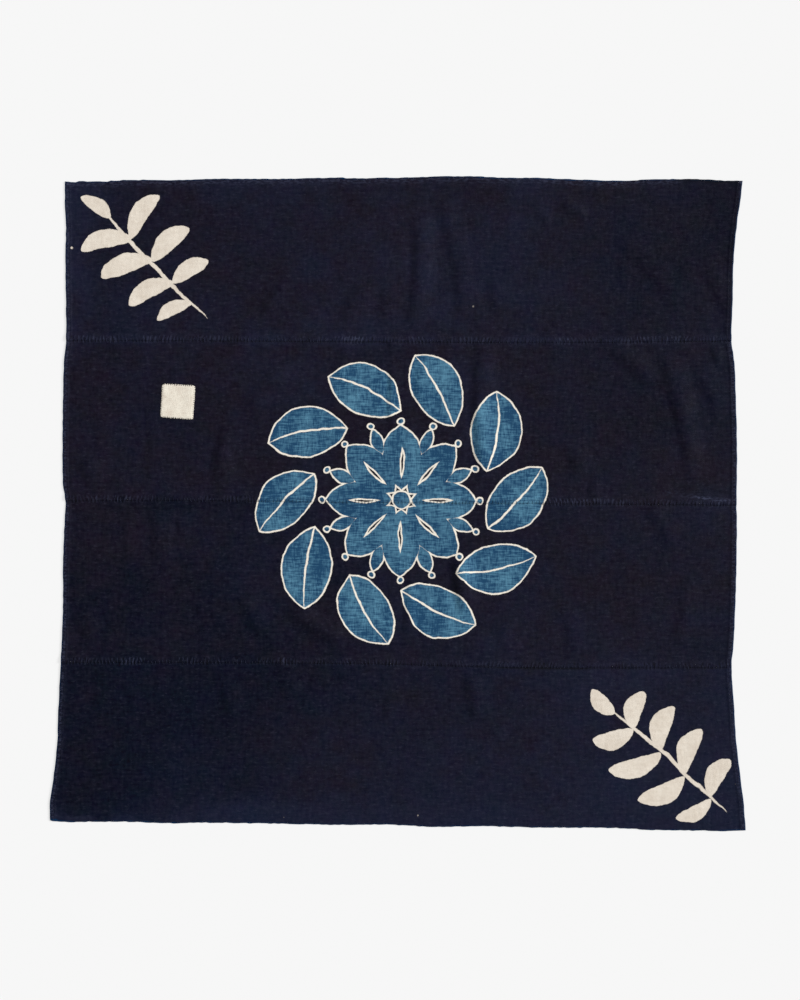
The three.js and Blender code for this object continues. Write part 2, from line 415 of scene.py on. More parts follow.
def lift(x, y):
    """How high the folds lift the cloth at a point, and how near it is to a fold's foot."""
    height = np.zeros_like(x)
    foot = np.zeros_like(x)
    for number, (from_x, from_y, to_x, to_y, bow, crest) in enumerate(FOLDS + CREASES):
        along_x, along_y = to_x - from_x, to_y - from_y
        length = math.hypot(along_x, along_y)
        share = ((x - from_x) * along_x + (y - from_y) * along_y) / length**2
        near = (share > 0) & (share < 1)
        share = share[near]
        aside = ((y[near] - from_y) * along_x - (x[near] - from_x) * along_y) / length
        strayed = FOLD_WAVER * wander(share * length, 34, 100 + number)
        line = 4 * bow * share * (1 - share) + strayed
        size = 1 if number < len(FOLDS) else CREASE_SIZE
        from_crest = (aside - line) / size - FOLD_STEEP / 2
        off = np.where(from_crest > 0, from_crest / FOLD_GENTLE, -from_crest / FOLD_STEEP)
        ends = smoothstep(np.minimum(share, 1 - share), 0, FOLD_TAPER)
        uneven = 1 + FOLD_UNEVEN * wander(share * length, 33, 200 + number)
        height[near] += crest * ends * uneven * (0.5 + 0.5 * np.cos(math.pi * np.minimum(off, 1)))
        foot[near] = np.maximum(foot[near], ends * bell(from_crest, -FOLD_STEEP, FOOT_REACH))
    return height, foot


def unevenness(x, y):
    """The small rise and fall of cloth that has been folded and washed."""
    broad = rumple(x, y, 70, 90, 11)
    upright = rumple(x, y, 21, 120, 12)
    fine = rumple(x, y, 11, 14, 13)
    gathered = bell(x, 90, 260) * bell(y, 380, 320)
    return 0.3 * (1 + broad) + (0.12 + 0.35 * gathered) * (1 + upright) + 0.05 * (1 + fine)


def stitch_phase(x, seam):
    """Counts the stitches of a seam along its length; they aren't quite evenly spaced."""
    seed = 20 + ("first", "second", "third").index(seam)
    return x / STITCH_PITCH + 0.35 * wander(x, 28, seed)


def seam_pull(x, seam, distance):
    """Puckers that run from a seam's stitches into the cloth on either side of it."""
    broad = 1 + wander(x, 17, 31 + len(seam))
    at_stitch = 1 + np.sin(2 * math.pi * stitch_phase(x, seam))
    return 0.2 * broad * bell(distance, 0, 16) + 0.1 * at_stitch * bell(distance, 3, 7)


def relief(width, x, y):
    """The height of a width's underside and of its face."""
    from_end = np.minimum(x - left_at(y), right_at(y) - x)
    below_top = top_at(width, x) - y
    above_bottom = y - bottom_at(width, x)
    height, foot = lift(x, y)
    underside = height + unevenness(x, y) * (1 - FLAT_AT_FOOT * foot)
    fade = 1.0
    if width.above:
        under_seam = below_top - ALLOWANCE
        fade = np.clip(under_seam / HEM_FADE, 0, 1)
        underside += seam_pull(x, width.above, under_seam)
    if width.below:
        raised = 1 - smoothstep(above_bottom, LAP - LAP_EASE, LAP + LAP_STEP)
        puff = np.abs(np.sin(math.pi * stitch_phase(x, width.below)))
        puff = puff * (0.25 + 0.15 * wander(x, 23, 33))
        swell = smoothstep(above_bottom, 0, 2) * (1 - smoothstep(above_bottom, 5, LAP))
        shut = 0.8 * GAP * (1 - smoothstep(above_bottom, 0, 3))
        underside += (CLOTH + GAP) * raised - shut + seam_pull(x, width.below, above_bottom)
        underside += puff * swell
    hem = 1 - smoothstep(from_end, HEM - 1, HEM + HEM_STEP)
    thread_groove = 0.3 * bell(from_end, HEM_STITCH_INSET, 0.9)
    face = underside + CLOTH + (HEM_FOLD * hem - thread_groove) * fade
    face = rounded(face, np.minimum(from_end, below_top), 0.45, EDGE_ROUND)
    if width.below:
        return underside, rounded(face, above_bottom, 0.35, LAP_ROUND)
    return underside, rounded(face, above_bottom, 0.6, EDGE_ROUND)


def rounded(face, from_rim, depth, reach):
    """The face, brought down towards a rim by a share of the cloth's thickness."""
    return face - depth * CLOTH * np.clip(1 - from_rim / reach, 0, 1) ** 2


def dye(width, x, y):
    """What the cloth's material reads at each point.

    These are shares from 0 to 1, but for stitch, which counts the stitches of the seam nearby.
    """
    left, right = left_at(y), right_at(y)
    across = (x - left) / (right - left)
    fading = width.fade_left + (width.fade_right - width.fade_left) * across
    fading = fading + 0.3 * rumple(x, y, 150, 170, 41)
    warmth = width.warmth + 0.35 * rumple(x, y, 90, 80, 43) + 0.35 * rumple(x, y, 30, 26, 44)
    for at_x, at_y, reach_x, reach_y, more_fading, more_warmth in BLOTCHES:
        share = bell(x, at_x, reach_x) * bell(y, at_y, reach_y)
        fading = fading + more_fading * share
        warmth = warmth + more_warmth * share
    below_top = top_at(width, x) - y
    above_bottom = y - bottom_at(width, x)
    from_end = np.minimum(x - left, right - x)
    near_seam = np.zeros_like(x)
    seam_wear = np.zeros_like(x)
    painted_shade = np.zeros_like(x)
    stitch = np.zeros_like(x)
    if width.below:
        slant = 0.06 * above_bottom * wander(x, 45, 90 + width.seed)
        stitch = stitch_phase(x, width.below) + slant
        near_seam = smoothstep(above_bottom, -1, 1) * (1 - smoothstep(above_bottom, 8, 13))
        seam_wear = stretches(RUBBED, width.below, x) * near_seam
        fading = fading + 0.3 * bell(above_bottom, 3, 9)
    else:
        patchy = np.clip(0.3 + wander(x, 40, 61), 0, 1)
        fading = fading + 0.4 * bell(above_bottom, 0, 40) + 1.4 * patchy * bell(above_bottom, 7, 5)
        warmth = warmth - 0.5 * bell(above_bottom, 0, 40)
    if width.above:
        under_seam = below_top - ALLOWANCE
        # Painted shade on the cloth just below the seam, where the width above laps over it
        depth = np.clip(0.15 * wander(x, 21, 62), 0, 1)
        depth += stretches(SHADED, width.above, x)
        reach = 3.2 + 4 * stretches(SHADED, width.above, x)
        painted_shade = depth * (1 - smoothstep(under_seam, 0.8, reach))
        upper = 1 - smoothstep(under_seam, 2, 6)
        stitch = np.where(upper > near_seam, stitch_phase(x, width.above), stitch)
        near_seam = np.maximum(near_seam, upper)
        seam_wear = np.maximum(seam_wear, 0.6 * stretches(RUBBED, width.above, x) * upper)
        fading = fading + 0.3 * bell(under_seam, -3, 9)
    edge_wear = 0.9 * bell(from_end, 5, 3.5)
    rim = from_end
    for from_x, from_y, to_x, to_y, half, strength in STREAKS:
        share = (x - from_x) / (to_x - from_x)
        ends = smoothstep(share, 0, 0.3) * (1 - smoothstep(share, 0.8, 1))
        off = y - from_y - share * (to_y - from_y)
        edge_wear = edge_wear + strength * ends * bell(off, 0, half)
    if not width.above:
        edge_wear = edge_wear + 0.9 * bell(below_top, 5, 2.5) + 0.3 * bell(below_top, 10, 4)
        # Painted shade along a stretch of the top edge, which has no worn paleness there
        shaded_top_stretch = smoothstep(x, 560, 590) * (1 - smoothstep(x, 690, 700))
        painted_shade = np.maximum(painted_shade, shaded_top_stretch * bell(below_top, 0, 3.5))
        edge_wear = edge_wear * (1 - shaded_top_stretch)
        rim = np.minimum(rim, below_top)
    if not width.below:
        rim = np.minimum(rim, above_bottom)
    return {
        "fading": fading,
        "warmth": warmth,
        "seam_wear": seam_wear,
        "edge_wear": edge_wear,
        "rim": 0.8 * (1 - smoothstep(rim, 0.6, 2.4)),
        # Painted shade below a seam and along part of the top edge
        "painted_shade": painted_shade,
        "near_seam": near_seam,
        "stitch": stitch,
    }


def stretches(table, seam, x):
    """What the rows for a seam add up to along it."""
    total = np.zeros_like(x)
    for name, from_x, to_x, strength in table:
        if name == seam:
            total += strength * smoothstep(x, from_x, from_x + 24) * (1 - smoothstep(x, to_x - 24, to_x))
    return total


# Meshes


def stations(start, end, cells):
    """Places on a stretch, each as a share of its length and a distance to add."""
    t = np.arange(1, cells) / cells
    share = np.concatenate([np.zeros(len(start)), t, np.ones(len(end))])
    middle = start[-1] * (1 - t) - end[-1] * t
    offset = np.concatenate([start, middle, -np.array(end[::-1], float)])
    return share, offset


def closed_sheet(name, x, y, underside, face, strip=0.004):
    """A closed body from a grid of points, its face and underside in halves of one map.

    Its rims are on narrow strips along the edges of the face's half.
    """
    rows, cols = x.shape
    number = np.arange(rows * cols).reshape(rows, cols)
    points = np.concatenate(
        [np.stack([x, y, underside], -1).reshape(-1, 3), np.stack([x, y, face], -1).reshape(-1, 3)]
    )
    across = (x - x.min()) / (x.max() - x.min())
    up = (y - y.min()) / (y.max() - y.min())
    margin = 2 * strip
    across = margin + (1 - 2 * margin) * across
    up = margin + (0.5 - 2 * margin) * up
    over_map = np.stack([across, up], -1).reshape(-1, 2)
    under_map = over_map + (0, 0.5)
    places = np.concatenate([under_map, over_map])

    over = number + rows * cols
    quads = [
        np.stack([over[:-1, :-1], over[:-1, 1:], over[1:, 1:], over[1:, :-1]], -1).reshape(-1, 4),
        np.stack([number[:-1, :-1], number[1:, :-1], number[1:, 1:], number[:-1, 1:]], -1).reshape(-1, 4),
    ]
    maps = [places[quads[0]], places[quads[1]]]
    rims = (
        (number[0], over[0], (0, -strip)),
        (number[-1][::-1], over[-1][::-1], (0, strip)),
        (number[::-1, 0], over[::-1, 0], (-strip, 0)),
        (number[:, -1], over[:, -1], (strip, 0)),
    )
    for low, high, outward in rims:
        quads.append(np.stack([low[:-1], low[1:], high[1:], high[:-1]], -1))
        top = places[np.stack([high[:-1], high[1:]], -1)]
        maps.append(np.concatenate([top + outward, top[:, ::-1]], 1))
    return mesh_object(name, points, np.concatenate(quads), np.concatenate(maps))


def mesh_object(name, points, quads, places):
    """A smooth mesh of four-sided faces with its map, from points in millimetres."""
    mesh = bpy.data.meshes.new(name)
    mesh.from_pydata((points * MM).tolist(), [], quads.tolist())
    layer = mesh.uv_layers.new(name="OFBake", do_init=False)
    layer.uv.foreach_set("vector", places.astype(np.float32).ravel())
    mesh.shade_smooth()
    return placed(name, mesh)


def placed(name, data):
    """A mesh, light or camera as an object in the scene."""
    made = bpy.data.objects.new(name, data)
    bpy.context.scene.collection.objects.link(made)
    return made


def attribute(made, name, values):
    """Stores a number for each point, the same on the underside as on the face."""
    layer = made.data.attributes.new(name, "FLOAT", "POINT")
    layer.data.foreach_set("value", np.tile(values.ravel(), 2).astype(np.float32))


def width_sheet(width):
    near_below = NEAR_LAP if width.below else NEAR_SELVAGE
    near_above = NEAR_ALLOWANCE if width.above else NEAR_SELVAGE
    column_share, column_offset = stations(NEAR_HEM, NEAR_HEM, CELLS_ALONG)
    row_share, row_offset = stations(near_below, near_above, CELLS_ACROSS)
    left, right = left_at(middle_of(width)), right_at(middle_of(width))
    near_x = left + column_share * (right - left) + column_offset
    bottom, top = bottom_at(width, near_x), top_at(width, near_x)
    y = bottom + row_share[:, None] * (top - bottom) + row_offset[:, None]
    left, right = left_at(y), right_at(y)
    x = left + column_share * (right - left) + column_offset
    underside, face = relief(width, x, y)
    made = closed_sheet(width.node + "_cloth", x, y, underside, face)
    for name, values in dye(width, x, y).items():
        attribute(made, name, values)
    return made


def threads(name, paths, radius, sides=5):
    """Short lengths of thread as one mesh, each along its own row of points."""
    paths = np.array(paths, float)
    count, steps, _ = paths.shape
    ahead = np.gradient(paths, axis=1)
    ahead /= np.linalg.norm(ahead, axis=2, keepdims=True)
    side = np.cross(ahead, (0, 0, 1))
    side /= np.linalg.norm(side, axis=2, keepdims=True)
    out = np.cross(side, ahead)
    turn = np.arange(sides) * 2 * math.pi / sides
    taper = radius * np.sin(math.pi * (np.arange(steps) + 0.6) / (steps + 0.2)) ** 0.4
    ring = side[:, :, None] * np.cos(turn)[:, None] + out[:, :, None] * np.sin(turn)[:, None]
    points = paths[:, :, None] + ring * taper[:, None, None]
    number = np.arange(count * steps * sides).reshape(count, steps, sides)
    around = np.roll(number, -1, axis=2)
    quads = np.stack([number[:, :-1], around[:, :-1], around[:, 1:], number[:, 1:]], -1)
    step, turn_no = np.meshgrid(np.arange(steps - 1), np.arange(sides), indexing="ij")
    corner = [(0, 0), (0, 1), (1, 1), (1, 0)]
    one = np.stack(
        [np.stack([(step + a) / (steps - 1), (turn_no + b) / sides], -1) for a, b in corner], -2
    )
    places = np.broadcast_to(one, (count, *one.shape)).reshape(-1, 2)
    return mesh_object(name, points.reshape(-1, 3), quads.reshape(-1, 4), places)


def face_at(width, x, y):
    return relief(width, np.asarray(x, float), np.asarray(y, float))[1]


def seam_stitches(width):
    """The stitches that hold a width's lapped edge down, across the lap."""
    draw = np.random.default_rng(200 + width.seed)
    dense = np.linspace(*SEAM_SPAN, 20000)
    phase = stitch_phase(dense, width.below)
    whole = np.arange(math.ceil(phase[0]), math.floor(phase[-1]))
    at = np.interp(whole, phase, dense)
    seam_y = seam_at(width.below, at)
    at = at[(at > left_at(seam_y) + SEAM_CLEAR) & (at < right_at(seam_y) - SEAM_CLEAR)]
    lean = draw.normal(0, 0.8, len(at))
    start, end = draw.uniform(-3.2, -1.6, len(at)), draw.uniform(4, 8, len(at))
    lower = WIDTHS[WIDTHS.index(width) + 1]
    paths = []
    for share, rise in SEAM_STITCH:
        x = at + lean * (share - 0.5) * 2
        above = start + (end - start) * share
        y = bottom_at(width, x) + above
        bed = np.where(above > 0, face_at(width, x, y), face_at(lower, x, y))
        paths.append(np.stack([x, y, bed + rise], -1))
    return np.stack(paths, 1)


def hem_stitches(width):
    """Running stitches along both hems of a width."""
    draw = np.random.default_rng(300 + width.seed)
    found = []
    for edge, inward in ((left_at, 1), (right_at, -1)):
        x_edge = edge(middle_of(width))[0]
        low = bottom_at(width, x_edge) + (SEAM_CLEAR if width.below else EDGE_CLEAR)
        high = top_at(width, x_edge) - (ALLOWANCE + SEAM_CLEAR if width.above else EDGE_CLEAR)
        at = np.arange(low, high, STITCH_PITCH)
        at = at + draw.uniform(-1, 1, len(at))
        half = draw.uniform(1.4, 2.3, len(at))
        inset = HEM_STITCH_INSET + draw.normal(0, 0.35, len(at))
        paths = []
        for share, rise in HEM_STITCH:
            y = at + half * share
            x = edge(y) + inward * (inset + 0.15 * share)
            paths.append(np.stack([x, y, face_at(width, x, y) + rise], -1))
        found.append(np.stack(paths, 1))
    return np.concatenate(found)


# The patch


def patch_grid(cells=56):
    """Points over the patch, its sides drawn in a little at each stitch."""
    t = np.linspace(0, 1, cells + 1)
    t = 0.5 - 0.5 * np.sign(0.5 - t) * np.abs(1 - 2 * t) ** 0.85
    (ax, ay), (bx, by), (cx, cy), (dx, dy) = PATCH_CORNERS
    across, up = np.meshgrid(t, t)
    from_side = np.minimum(up, 1 - up) * PATCH_HEIGHT
    corner = np.clip(PATCH_ROUND - from_side, 0, PATCH_ROUND)
    inset = (PATCH_ROUND - np.sqrt(PATCH_ROUND**2 - corner**2)) / PATCH_WIDTH
    across = inset + across * (1 - 2 * inset)
    x = (1 - up) * ((1 - across) * dx + across * cx) + up * ((1 - across) * ax + across * bx)
    y = (1 - up) * ((1 - across) * dy + across * cy) + up * ((1 - across) * ay + across * by)
    rim = np.minimum(np.minimum(across - inset, 1 - inset - across) * PATCH_WIDTH, from_side)
    tuck = bell(rim, 0, 3)
    x = x + tuck * 0.5 * wander(y, 2.4, 81)
    y = y + tuck * 0.5 * wander(x, 2.4, 82)
    return x, y, rim


def patch_sheet(below):
    x, y, rim = patch_grid()
    bed = face_at(below, x, y)
    bulge = 0.5 * smoothstep(rim, 0, 6) * (0.7 + 0.5 * rumple(x, y, 17, 19, 83))
    pinch = 0.3 * bell(rim, 0, 1.5)
    underside = bed + 0.06 + bulge
    face = underside + CLOTH - pinch
    made = closed_sheet("patch_cloth", x, y, underside, face, strip=0.01)
    attribute(made, "rim", rim)
    return made


def patch_stitches(below):
    """Whip stitches over the patch's edge, all the way round."""
    draw = np.random.default_rng(400)
    corners = np.array(PATCH_CORNERS, float)
    paths = []
    for number in range(4):
        start, end = corners[number], corners[(number + 1) % 4]
        run = end - start
        length = np.linalg.norm(run)
        run /= length
        inward = np.array([run[1], -run[0]])
        for at in np.arange(5, length - 4, WHIP_PITCH):
            foot = start + run * (at + draw.uniform(-0.6, 0.6))
            deep = draw.uniform(1.6, 3.2)
            lean = draw.uniform(0.4, 1.4)
            path = []
            for share, rise in WHIP_STITCH:
                across = -WHIP_OUT + (deep + WHIP_OUT) * share
                point = foot + inward * across + run * lean * (share - 0.5)
                bed = face_at(below, point[:1], point[1:])[0]
                path.append((point[0], point[1], bed + rise))
            paths.append(path)
    return paths


# Shader formulas


class Value:
    """A number that Math nodes work out over a surface, so that formulas read as formulas."""

    def __init__(self, tree, socket):
        self.tree = tree
        self.socket = socket

    def apply(self, operation, *others):
        node = self.tree.nodes.new("ShaderNodeMath")
        node.operation = operation
        for place, value in zip(node.inputs, (self, *others)):
            feed(self.tree, place, value)
        return Value(self.tree, node.outputs[0])

    def __add__(self, other):
        return self.apply("ADD", other)

    def __sub__(self, other):
        return self.apply("SUBTRACT", other)

    def __rsub__(self, other):
        return self * -1 + other

    def __mul__(self, other):
        return self.apply("MULTIPLY", other)

    def __truediv__(self, other):
        return self.apply("DIVIDE", other)

    def __abs__(self):
        return self.apply("ABSOLUTE")

    __radd__ = __add__
    __rmul__ = __mul__

    def least(self, other):
        return self.apply("MINIMUM", other)

    def most(self, other):
        return self.apply("MAXIMUM", other)

    def root(self):
        return self.apply("SQRT")

    def between(self, low, high, start=0.0, end=1.0):
        """Goes smoothly from start to end while this goes from low to high."""
        node = self.tree.nodes.new("ShaderNodeMapRange")
        node.interpolation_type = "SMOOTHSTEP"
        for place, value in zip(node.inputs, (self, low, high, start, end)):
            feed(self.tree, place, value)
        return Value(self.tree, node.outputs[0])


def feed(tree, place, value):
    if isinstance(value, Value):
        tree.links.new(value.socket, place)
    elif isinstance(value, bpy.types.NodeSocket):
        tree.links.new(value, place)
    else:
        place.default_value = value


def hypot(a, b):
    return (a * a + b * b).root()


def point_of(tree):
    """The point's place on the cloth, x and y in millimetres."""
    place = tree.nodes.new("ShaderNodeTexCoord")
    split = tree.nodes.new("ShaderNodeSeparateXYZ")
    tree.links.new(place.outputs["Object"], split.inputs[0])
    return Value(tree, split.outputs[0]) / MM, Value(tree, split.outputs[1]) / MM


def noise(x, y, size_x, size_y, detail=2.0, shift=0.0, rough=0.5):
    """Noise from 0 to 1 over the plane, about 0.5 on average."""
    tree = x.tree
    join = tree.nodes.new("ShaderNodeCombineXYZ")
    feed(tree, join.inputs[0], x / size_x + shift)
    feed(tree, join.inputs[1], y / size_y + shift)
    node = tree.nodes.new("ShaderNodeTexNoise")
    node.noise_dimensions = "2D"
    tree.links.new(join.outputs[0], node.inputs["Vector"])
    node.inputs["Scale"].default_value = 1.0
    node.inputs["Detail"].default_value = detail
    node.inputs["Roughness"].default_value = rough
    return Value(tree, node.outputs[0])


def stored(tree, name):
    node = tree.nodes.new("ShaderNodeAttribute")
    node.attribute_name = name
    return Value(tree, node.outputs["Fac"])


def mixed(tree, share, first, second):
    """One colour going over into another."""
    node = tree.nodes.new("ShaderNodeMix")
    node.data_type = "RGBA"
    node.clamp_factor = True
    feed(tree, node.inputs[0], share)
    feed(tree, node.inputs[6], first)
    feed(tree, node.inputs[7], second)
    return node.outputs[2]


def shaded(tree, colour, share):
    """A colour made lighter or darker."""
    node = tree.nodes.new("ShaderNodeVectorMath")
    node.operation = "SCALE"
    feed(tree, node.inputs[0], colour[:3] if isinstance(colour, tuple) else colour)
    feed(tree, node.inputs["Scale"], share)
    return node.outputs[0]


def added(tree, colour, tint, share):
    """A colour with a share of a tint added to it, which may be below 0."""
    node = tree.nodes.new("ShaderNodeVectorMath")
    node.operation = "MULTIPLY_ADD"
    feed(tree, node.inputs[0], tint)
    feed(tree, node.inputs[1], share)
    feed(tree, node.inputs[2], colour)
    least = tree.nodes.new("ShaderNodeVectorMath")
    least.operation = "MAXIMUM"
    feed(tree, least.inputs[0], node.outputs[0])
    feed(tree, least.inputs[1], (0.0002, 0.0002, 0.0002))
    return least.outputs[0]


LIGHT = 1.16  # how much brighter than its own colour a level matt surface comes out


def seen(red, green, blue, gloss=0.0):
    """The colour a surface needs to come out as this screen colour under the scene's light."""
    linear = [((c / 255 + 0.055) / 1.055) ** 2.4 for c in (red, green, blue)]
    return (*(max(c - gloss, 0.0004) / LIGHT for c in linear), 1.0)


GLOSS = 0.0048  # what a level cloth reflects from its nap, on top of its dye
INDIGO_DEEP = seen(19, 21, 33.5, GLOSS)
INDIGO_FADED = seen(29, 30.5, 47, GLOSS)
INDIGO_WARM = seen(27.5, 24.5, 35, GLOSS)
INDIGO_RUBBED = seen(64, 68, 90, GLOSS)
INDIGO_RIM = seen(18, 50, 84, GLOSS)
OUTLINE_CREAM = seen(247, 239, 224)
BLUE_DEEP = seen(34, 70, 102, GLOSS)
BLUE_PALE = seen(85, 132, 158, GLOSS)
CREAM = seen(231, 221, 207)
CREAM_SHADE = seen(214, 202, 187)
PATCH_CREAM = seen(238, 231, 216)
GRIME = seen(150, 142, 136)
THREAD_INDIGO = seen(37, 40, 58)
THREAD_DARK = seen(30, 32, 48)
BLUE_THREAD = seen(52, 88, 116)
YARN_TINT = (0.0055, 0.0055, 0.008)  # what a thick pale yarn adds to the dyed cloth's colour
TEAL_TINT = (-0.0012, 0.0005, 0.0024)  # what cool dye adds
VIOLET_TINT = (0.0013, -0.0006, 0.0021)  # between the dye's more violet and its greener spots

SOFT_EDGE = 0.8
LINE_HALF = 1.5  # half the width of the cream outlines


def inside(distance):
    """1 where a distance is below 0 and 0 where it is above, over a soft edge."""
    return distance.between(-SOFT_EDGE, SOFT_EDGE, 1.0, 0.0)


def lens(along, aside, length, width):
    """Distance from a pointed leaf shape, below 0 within it."""
    half, thick = length / 2, width / 2
    centre = (half**2 / thick - thick) / 2
    return hypot(along, abs(aside) + centre) - (centre + thick)


def turned(x, y, angle):
    c, s = math.cos(angle), math.sin(angle)
    return x * c + y * s, y * c - x * s


MEDALLION = (7.2, 7.2)  # its middle

# Its leaf-shaped parts: how many, how far out their middles are, length, width
Part = namedtuple("Part", "count out length width")
LEAF = Part(10, 237.0, 164, 101)
PETAL = Part(8, 88, 136, 79)
SLIT = Part(8, 76, 54, 7)  # in a petal
SEPAL = Part(8, 128, 56, 27)  # between two petals
LEAF_TILT = math.radians(47)
BETWEEN_TILT = math.radians(43)  # of the lines that part the leaves
BERRIES, BERRIES_OUT, BERRY_RADIUS = 16, 163, 6.2
HEART_RADIUS = 19


def sector(radius, angle, count, half_turn=0.0):
    """The point turned back into the first of count like sectors."""
    half = math.pi / count
    back = (angle + half_turn * half).apply("WRAP", half, -half)
    return radius * back.apply("COSINE"), radius * back.apply("SINE")


def medallion(x, y):
    """Distance from a wreath of leaves round a blossom, below 0 within its parts."""
    x, y = x - MEDALLION[0], y - MEDALLION[1]
    radius = hypot(x, y)
    angle = y.apply("ARCTAN2", x)

    swirl = (radius - LEAF.out) * (math.tan(BETWEEN_TILT) / LEAF.out)
    half = math.pi / LEAF.count
    back = (angle - swirl).apply("WRAP", half, -half) + swirl
    out, aside = radius * back.apply("COSINE"), radius * back.apply("SINE")
    along, aside = turned(out - LEAF.out, aside, LEAF_TILT)
    bent = aside + 2 - 8 * (along / 80) * (along / 80)
    leaf = lens(along, bent, LEAF.length, LEAF.width)
    rib = lens(along + 14, bent, 108, 1.0)
    shape = leaf.most(rib * -1)

    out, aside = sector(radius, angle, BERRIES)
    shape = shape.least(hypot(out - BERRIES_OUT, aside) - BERRY_RADIUS)

    out, aside = sector(radius, angle, PETAL.count)
    petal = lens(out - PETAL.out, aside, PETAL.length, PETAL.width)
    slit = lens(out - SLIT.out, aside, SLIT.length, SLIT.width)
    shape = shape.least(petal.most(slit * -1))

    out, aside = sector(radius, angle, SEPAL.count, half_turn=1.0)
    shape = shape.least(lens(out - SEPAL.out, aside, SEPAL.length, SEPAL.width))
    return shape.least(radius - HEART_RADIUS)


# Leaves of the two corner sprays, each after its stalk: from x, from y, to x, to y, swing, width,
# and how much fuller the far end is
UPPER_SPRAY = (
    (-388, 374, -610, 610, 5, 8, 0),
    (-584, 582, -646, 628, -5, 32, -0.3),
    (-546, 540, -486, 626, 10, 38, 0.2),
    (-542, 542, -642, 516, -12, 37, 0.1),
    (-502, 494, -424, 562, 10, 40, 0.2),
    (-500, 498, -606, 462, -12, 40, 0.2),
    (-460, 450, -386, 496, 8, 36, 0.2),
    (-458, 452, -546, 404, -10, 38, 0.2),
    (-420, 408, -488, 374, -8, 28, 0.1),
)
LOWER_SPRAY = (
    (668, -630, 424, -410, -5, 8, 0),
    (444, -428, 396, -380, 6, 33, -0.3),
    (480, -458, 500, -382, 9, 37, 0.2),
    (482, -462, 396, -482, 10, 37, 0.1),
    (532, -504, 560, -412, 12, 41, 0.2),
    (534, -510, 432, -544, 12, 40, 0.2),
    (584, -550, 618, -456, 12, 42, 0.2),
    (586, -556, 490, -604, 12, 40, 0.2),
    (634, -598, 676, -520, 10, 37, 0.2),
    (638, -604, 566, -642, 8, 30, 0.1),
)


def spray(x, y, strokes):
    """Distance from a spray of leaves, below 0 within them."""
    shape = None
    for from_x, from_y, to_x, to_y, swing, width, fuller in strokes:
        run_x, run_y = to_x - from_x, to_y - from_y
        length = math.hypot(run_x, run_y)
        along, aside = turned(x - from_x, y - from_y, math.atan2(run_y, run_x))
        share = along / length
        swell = (share * (1 - share) * 4).most(0)
        half = swell.apply("POWER", 0.62) * ((share - 0.5) * fuller + 1) * (width / 2)
        beyond = abs(along - length / 2) - length / 2
        stroke = (abs(aside - swell * swing) - half).most(beyond)
        shape = stroke if shape is None else shape.least(stroke)
    return shape


def drawn(figure, x, y):
    """Distance from a figure whose lines waver as if drawn by hand."""
    wobble_x = (noise(x, y, 110, 110, 1, 11.3) - 0.5) * 12 + (noise(x, y, 24, 24, 1, 13.7) - 0.5) * 4
    wobble_y = (noise(x, y, 110, 110, 1, 17.9) - 0.5) * 12 + (noise(x, y, 24, 24, 1, 19.1) - 0.5) * 4
    return figure(x + wobble_x, y + wobble_y)


def matt_material(name, roughness, specular):
    """A new material, its node tree and its shader."""
    material = bpy.data.materials.new(name)
    material.use_nodes = True
    shader = material.node_tree.nodes["Principled BSDF"]
    shader.inputs["Roughness"].default_value = roughness
    shader.inputs["Specular IOR Level"].default_value = specular
    return material, material.node_tree, shader


def cloth_material(name, figure, outlined):
    """Indigo cotton with slubs, worn seams and faded dye, and with a figure left in its dye."""
    material, tree, shader = matt_material(name, roughness=0.52, specular=0.085)
    x, y = point_of(tree)
    weft = noise(x, y, 26, 6.0, 1, 3.1) - 0.5
    warp = noise(x, y, 6.6, 22, 1, 7.7) - 0.5
    fleck = noise(x, y, 8.5, 7.0, 1, 5.3) - 0.5
    slub = weft + warp * 0.8 + fleck * 0.9
    blotch = noise(x, y, 45, 45, 2, 1.7) - 0.5
    colour = dyed(tree, x, y, slub, blotch)
    colour, pattern, line = figured(tree, x, y, colour, slub, blotch, figure, outlined)
    colour = worn(tree, x, y, colour, fleck, pattern, line)
    tree.links.new(colour, shader.inputs["Base Color"])
    weave(tree, shader, x, y, slub)
    return material


def dyed(tree, x, y, slub, blotch):
    """The colour of the plain cloth."""
    bright = noise(x, y, 11, 5.0, 1, 43.7).between(0.6, 0.8)
    rusty = noise(x, y, 12, 9, 1, 57.1)
    violet = (noise(x, y, 10, 9, 1, 67.3) - 0.5) * 0.85 + (noise(x, y, 42, 46, 1, 71.9) - 0.5) * 1.4
    fading = stored(tree, "fading") + blotch * 0.25
    warmth = stored(tree, "warmth") + (rusty - 0.5) * 0.6
    colour = mixed(tree, fading, INDIGO_DEEP, INDIGO_FADED)
    colour = mixed(tree, warmth, colour, INDIGO_WARM)
    colour = added(tree, colour, TEAL_TINT, (warmth * -1).most(0))
    colour = added(tree, colour, VIOLET_TINT, violet)
    return added(tree, colour, YARN_TINT, slub + bright * 0.9 - 0.04)


